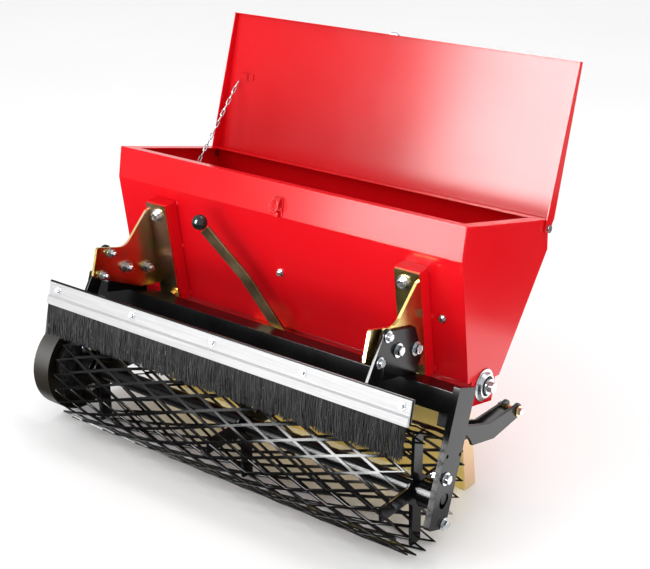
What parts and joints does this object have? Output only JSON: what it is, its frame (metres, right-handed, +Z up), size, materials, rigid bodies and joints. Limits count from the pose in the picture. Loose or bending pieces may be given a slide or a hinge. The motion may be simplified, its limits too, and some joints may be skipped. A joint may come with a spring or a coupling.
{
  "type": "seed drill",
  "caption": "rear-mounted grass seeder: sheet-steel hopper with a chained lid, metering shaft, seed chute, brush and expanded-metal cage roller on a two-arm frame",
  "frame": {"origin": "bottom centre of the box round the parked machine, on the floor it stands on", "axes": "+X across the machine, from the chain-guard side to the other end; +Y towards the tractor, the side the lid opens to; +Z up"},
  "size_m": [0.9104, 0.6012, 0.7597],
  "materials": {
    "red_paint": "gloss",
    "black_paint": "semi-gloss",
    "yellow_zinc": "yellow zinc plate",
    "bright_zinc": "bright zinc plate",
    "aluminium": "mill",
    "bare_steel": "satin",
    "black_nylon": "matte",
    "black_plastic": "gloss"
  },
  "bodies": {
    "frame": {"hopper_front": "red_paint", "hopper_back": "red_paint", "hopper_end_left": "red_paint", "hopper_end_right": "red_paint", "metering_trough": "red_paint", "bracket_pad_left": "red_paint", "bracket_pad_right": "red_paint", "lid_latch": "red_paint", "bracket_left": "yellow_zinc", "bracket_right": "yellow_zinc", "seed_chute": "yellow_zinc", "shutter_tab": "yellow_zinc", "metering_lever": "yellow_zinc", "frame_lug_left": "black_paint", "frame_lug_right": "black_paint", "brush_link_left": "black_paint", "brush_link_right": "black_paint", "crossbar": "black_paint", "side_arm_left": "black_paint", "side_arm_right": "black_paint", "hitch_bracket_left": "black_paint", "hitch_bracket_right": "black_paint", "brush_carrier": "black_paint", "chain_guard": "black_paint", "roller_bearing_left": "black_paint", "roller_bearing_right": "black_paint", "hitch_pin_left": "bright_zinc", "hitch_pin_right": "bright_zinc", "shaft_bearing_left": "bright_zinc", "shaft_bearing_right": "bright_zinc", "lid_hinge_bolt_left": "bright_zinc", "lid_hinge_bolt_right": "bright_zinc", "lid_chain": "bright_zinc", "brush_holder": "aluminium", "brush_bristles": "black_nylon", "drive_chain": "bare_steel", "lever_knob": "black_plastic"},
    "lid": {"lid": "red_paint", "lid_catch": "bright_zinc"},
    "roller": {"roller_mesh": "black_paint", "roller_tube": "black_paint", "roller_spider_left": "black_paint", "roller_spider_middle": "black_paint", "roller_spider_right": "black_paint", "roller_sprocket": "bare_steel"},
    "feed": {"feed_shaft": "bare_steel", "feed_rotor": "black_nylon", "feed_sprocket": "bare_steel"}
  },
  "joints": [
    {"name": "lid_hinge", "type": "hinge", "parent": "frame", "child": "lid", "pos_m": [0.00315, 0.20838, 0.46372], "axis": [1, 0, 0], "range_deg": [0, 91.4], "deforming": ["lid_chain"]},
    {"name": "roller_spin", "type": "hinge", "parent": "frame", "child": "roller", "pos_m": [0.02115, -0.18923, 0.10947], "axis": [1, 0, 0], "continuous": true},
    {"name": "feed_spin", "type": "hinge", "parent": "frame", "child": "feed", "pos_m": [0.00315, 0.00913, 0.22776], "axis": [1, 0, 0], "continuous": true}
  ],
  "couplings": [
    {"joint": "feed_spin", "follows": "roller_spin", "ratio": 1.5}
  ]
}
